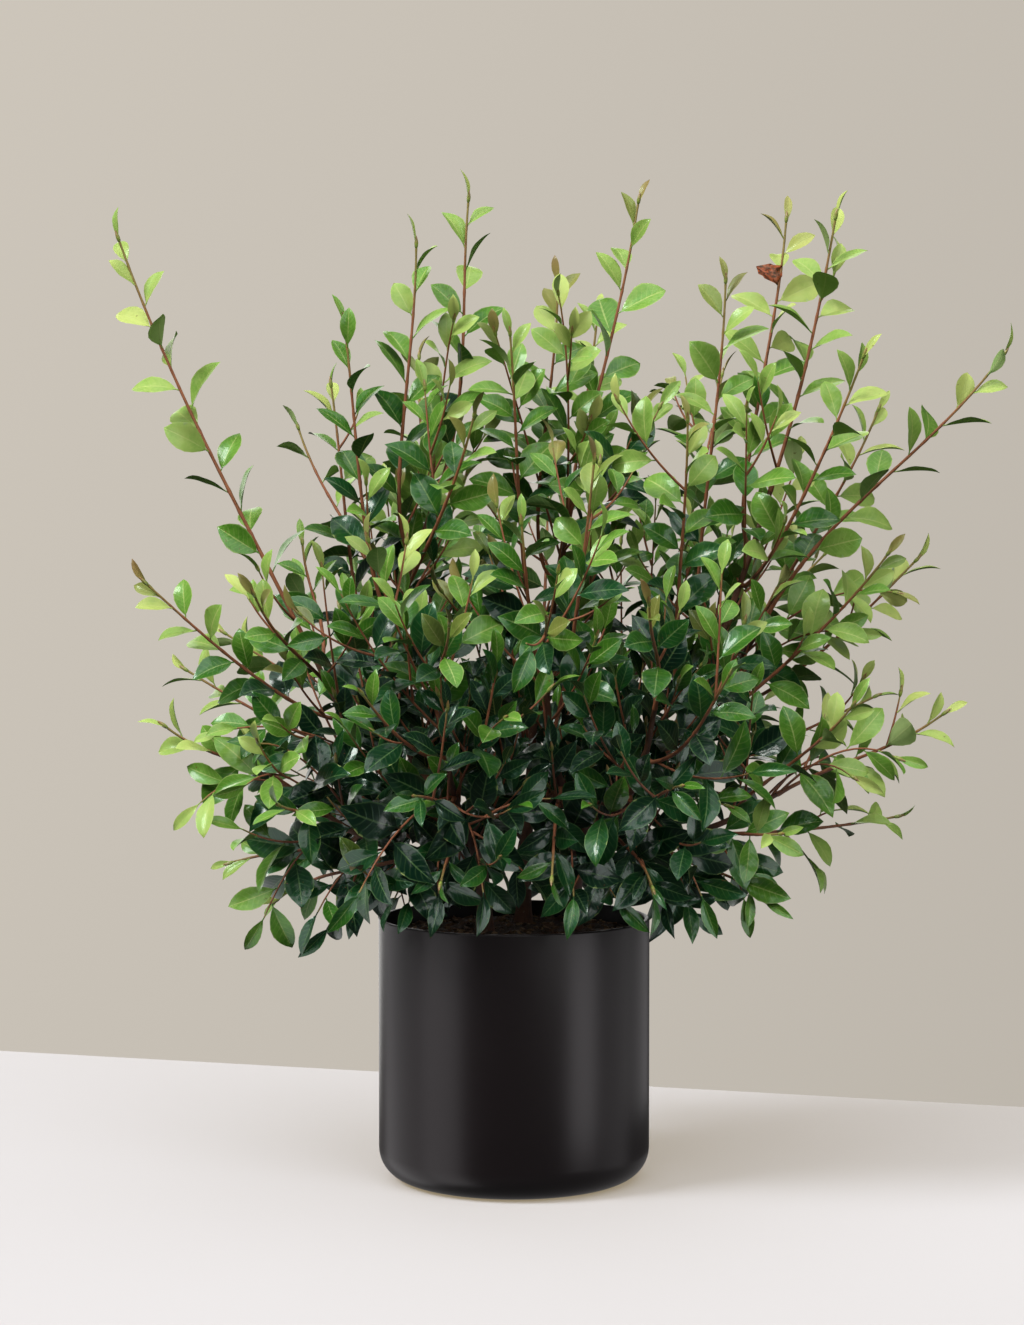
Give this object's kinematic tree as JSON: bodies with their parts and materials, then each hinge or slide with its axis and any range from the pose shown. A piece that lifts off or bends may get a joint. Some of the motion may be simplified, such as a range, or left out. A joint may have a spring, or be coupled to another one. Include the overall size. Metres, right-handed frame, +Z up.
{
  "type": "potted camellia",
  "caption": "Bushy evergreen shrub without flowers: upright leafy shoots on forked trunks, growing from potting mix in a plain round planter with a rounded foot.",
  "frame": {"origin": "middle of the planter's flat base, on the surface that it stands on", "axes": "+Z up, -Y towards the viewer of the picture, +X to that viewer's right"},
  "size_m": [0.9336, 0.6581, 1.0414],
  "materials": {
    "planter_coat": "matt, near black",
    "potting_mix": "loose and fibrous, dark brown",
    "bark": "rough, reddish brown",
    "leaf": "glossy upper side, leathery green"
  },
  "bodies": {
    "root": {"planter": "planter_coat", "potting_mix": "potting_mix", "trunk_left": "bark", "trunk_right": "bark", "trunk_back": "bark", "leafy_stem_01": "leaf", "leafy_stem_02": "leaf", "leafy_stem_03": "leaf", "leafy_stem_04": "leaf", "leafy_stem_05": "leaf", "leafy_stem_06": "leaf", "leafy_stem_07": "leaf", "leafy_stem_08": "leaf", "leafy_stem_09": "leaf", "leafy_stem_10": "leaf", "leafy_stem_11": "leaf", "leafy_stem_12": "leaf", "leafy_stem_13": "leaf", "leafy_stem_14": "leaf", "leafy_stem_15": "leaf", "leafy_stem_16": "leaf", "leafy_stem_17": "leaf", "leafy_stem_18": "leaf", "leafy_stem_19": "leaf", "leafy_stem_20": "leaf", "leafy_stem_21": "leaf", "leafy_stem_22": "leaf", "leafy_stem_23": "leaf", "leafy_stem_24": "leaf", "leafy_stem_25": "leaf", "leafy_stem_26": "leaf", "leafy_stem_27": "leaf", "leafy_stem_28": "leaf", "leafy_stem_29": "leaf", "leafy_stem_30": "leaf", "leafy_stem_31": "leaf", "leafy_stem_32": "leaf", "leafy_stem_33": "leaf", "leafy_stem_34": "leaf", "leafy_stem_35": "leaf", "leafy_stem_36": "leaf", "leafy_stem_37": "leaf", "leafy_stem_38": "leaf", "leafy_stem_39": "leaf", "leafy_stem_40": "leaf", "leafy_stem_41": "leaf", "leafy_stem_42": "leaf", "leafy_stem_43": "leaf", "leafy_stem_44": "leaf", "leafy_stem_45": "leaf", "leafy_stem_46": "leaf", "leafy_stem_47": "leaf", "leafy_stem_48": "leaf", "leafy_stem_49": "leaf", "leafy_stem_50": "leaf", "leafy_stem_51": "leaf", "leafy_stem_52": "leaf", "leafy_stem_53": "leaf", "leafy_stem_54": "leaf", "leafy_stem_55": "leaf"}
  },
  "joints": []
}
